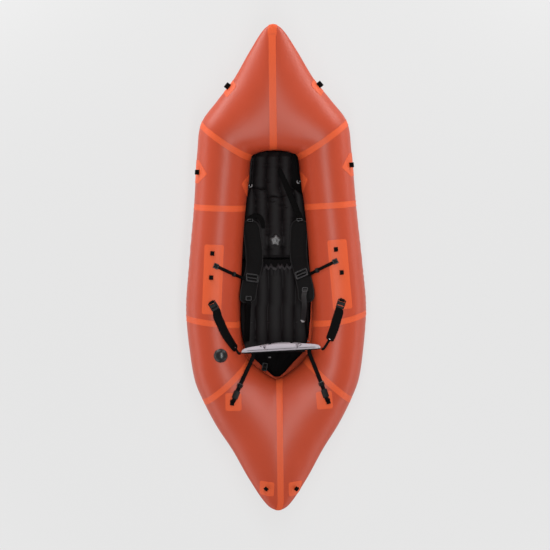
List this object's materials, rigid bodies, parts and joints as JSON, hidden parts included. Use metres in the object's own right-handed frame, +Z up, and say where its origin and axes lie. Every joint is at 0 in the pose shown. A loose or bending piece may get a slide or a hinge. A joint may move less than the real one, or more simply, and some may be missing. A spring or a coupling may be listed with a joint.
{
  "type": "packraft",
  "caption": "Inflatable packraft with a pointed bow and stern, a cockpit with a strapped backrest, an air mat and a rucksack harness, grab loops and valves.",
  "frame": {"origin": "on the ground under the middle of the hull", "axes": "+X to starboard, +Y towards the bow, +Z up"},
  "size_m": [0.8946, 2.4026, 0.3062],
  "materials": {
    "hull_fabric": "satin coated nylon",
    "tape_fabric": "satin coated nylon tape",
    "black_nylon": "plain woven nylon",
    "black_webbing": "woven webbing",
    "black_plastic": "moulded, satin",
    "grey_foam": "laminated foam"
  },
  "bodies": {
    "root": {"adjuster_strap_port": "black_webbing", "adjuster_strap_starboard": "black_webbing", "floor_sheet": "hull_fabric", "front_mat": "black_nylon", "grab_loop_bow_port": "tape_fabric", "grab_loop_bow_starboard": "tape_fabric", "grab_loop_side_port": "tape_fabric", "grab_loop_side_starboard": "tape_fabric", "load_lifter_port": "black_webbing", "load_lifter_starboard": "black_webbing", "main_valve_base": "black_plastic", "mat_valve_base": "black_plastic", "pad_tether_port": "black_webbing", "pad_tether_starboard": "black_webbing", "rear_strap_port": "black_webbing", "rear_strap_starboard": "black_webbing", "rucksack": "black_nylon", "seam_tape_bow_centre": "tape_fabric", "seam_tape_bow_diagonal_port": "tape_fabric", "seam_tape_bow_diagonal_starboard": "tape_fabric", "seam_tape_fore_port": "tape_fabric", "seam_tape_fore_starboard": "tape_fabric", "seam_tape_mid_port": "tape_fabric", "seam_tape_mid_starboard": "tape_fabric", "seam_tape_stern_centre": "tape_fabric", "seam_tape_stern_diagonal_port": "tape_fabric", "seam_tape_stern_diagonal_starboard": "tape_fabric", "seat_mat": "black_nylon", "side_patch_port": "tape_fabric", "side_patch_starboard": "tape_fabric", "strap_patch_stern_port": "tape_fabric", "strap_patch_stern_starboard": "tape_fabric", "tow_loop_stern_port": "tape_fabric", "tow_loop_stern_starboard": "tape_fabric", "tube_aft_port": "hull_fabric", "tube_aft_starboard": "hull_fabric", "tube_bow_port": "hull_fabric", "tube_bow_starboard": "hull_fabric", "tube_fore_port": "hull_fabric", "tube_fore_starboard": "hull_fabric", "tube_mid_port": "hull_fabric", "tube_mid_starboard": "hull_fabric", "tube_stern_port": "hull_fabric", "tube_stern_starboard": "hull_fabric", "wing_strap_port": "black_webbing", "wing_strap_starboard": "black_webbing"},
    "valve_cap": {"main_valve_cap": "black_plastic"},
    "mat_knob": {"mat_valve_knob": "black_plastic"},
    "backrest": {"backrest_foam": "grey_foam", "backrest_shell": "black_nylon"},
    "pad_port": {"shoulder_pad_port": "black_nylon", "ladder_lock_pad_port": "black_plastic"},
    "tri_glide_port": {"tri_glide_port": "black_plastic"},
    "front_lock_port": {"ladder_lock_front_port": "black_plastic"},
    "rear_buckle_port": {"rear_buckle_port": "black_plastic"},
    "pad_starboard": {"shoulder_pad_starboard": "black_nylon", "ladder_lock_pad_starboard": "black_plastic"},
    "tri_glide_starboard": {"tri_glide_starboard": "black_plastic"},
    "front_lock_starboard": {"ladder_lock_front_starboard": "black_plastic"},
    "rear_buckle_starboard": {"rear_buckle_starboard": "black_plastic"}
  },
  "joints": [
    {"name": "main_valve_turn", "type": "hinge", "parent": "root", "child": "valve_cap", "pos_m": [-0.2755, -0.43152, 0.26953], "axis": [0, 0, 1], "range_deg": [0, 90]},
    {"name": "mat_valve_turn", "type": "hinge", "parent": "root", "child": "mat_knob", "pos_m": [0, 0.13486, 0.0867], "axis": [0, 0, 1], "range_deg": [0, 90]},
    {"name": "backrest_fold", "type": "hinge", "parent": "root", "child": "backrest", "pos_m": [0.022, -0.40227, 0.08827], "axis": [0.999, 0.045, 0], "range_deg": [-35, 0], "deforming": ["wing_strap_port", "wing_strap_starboard", "rear_strap_port", "rear_strap_starboard"]},
    {"name": "pad_lift_port", "type": "hinge", "parent": "root", "child": "pad_port", "pos_m": [-0.1246, 0.242, 0.0873], "axis": [-0.978, 0.2085, 0], "range_deg": [0, 70], "deforming": ["adjuster_strap_port", "load_lifter_port", "pad_tether_port"]},
    {"name": "tri_glide_slide_port", "type": "slide", "parent": "pad_port", "child": "tri_glide_port", "axis": [0.2321, 0.8802, -0.4139], "range_m": [-0.01, 0.01], "deforming": ["pad_tether_port"]},
    {"name": "front_lock_tilt_port", "type": "hinge", "parent": "root", "child": "front_lock_port", "pos_m": [-0.31866, -0.16684, 0.27182], "axis": [-0.8629, -0.5047, 0.0261], "range_deg": [0, 28], "deforming": ["wing_strap_port"]},
    {"name": "rear_buckle_slide_port", "type": "slide", "parent": "root", "child": "rear_buckle_port", "axis": [0.3818, 0.9242, -0.0011], "range_m": [-0.012, 0.012]},
    {"name": "pad_lift_starboard", "type": "hinge", "parent": "root", "child": "pad_starboard", "pos_m": [0.12104, 0.242, 0.0873], "axis": [-0.978, -0.2085, 0], "range_deg": [0, 70], "deforming": ["adjuster_strap_starboard", "load_lifter_starboard", "pad_tether_starboard"]},
    {"name": "tri_glide_slide_starboard", "type": "slide", "parent": "pad_starboard", "child": "tri_glide_starboard", "axis": [-0.203, 0.8554, -0.4764], "range_m": [-0.01, 0.01], "deforming": ["pad_tether_starboard"]},
    {"name": "front_lock_tilt_starboard", "type": "hinge", "parent": "root", "child": "front_lock_starboard", "pos_m": [0.32627, -0.16197, 0.27087], "axis": [-0.9454, 0.3219, 0.0513], "range_deg": [0, 28], "deforming": ["wing_strap_starboard"]},
    {"name": "rear_buckle_slide_starboard", "type": "slide", "parent": "root", "child": "rear_buckle_starboard", "axis": [-0.3146, 0.9459, 0.0788], "range_m": [-0.012, 0.012]}
  ]
}
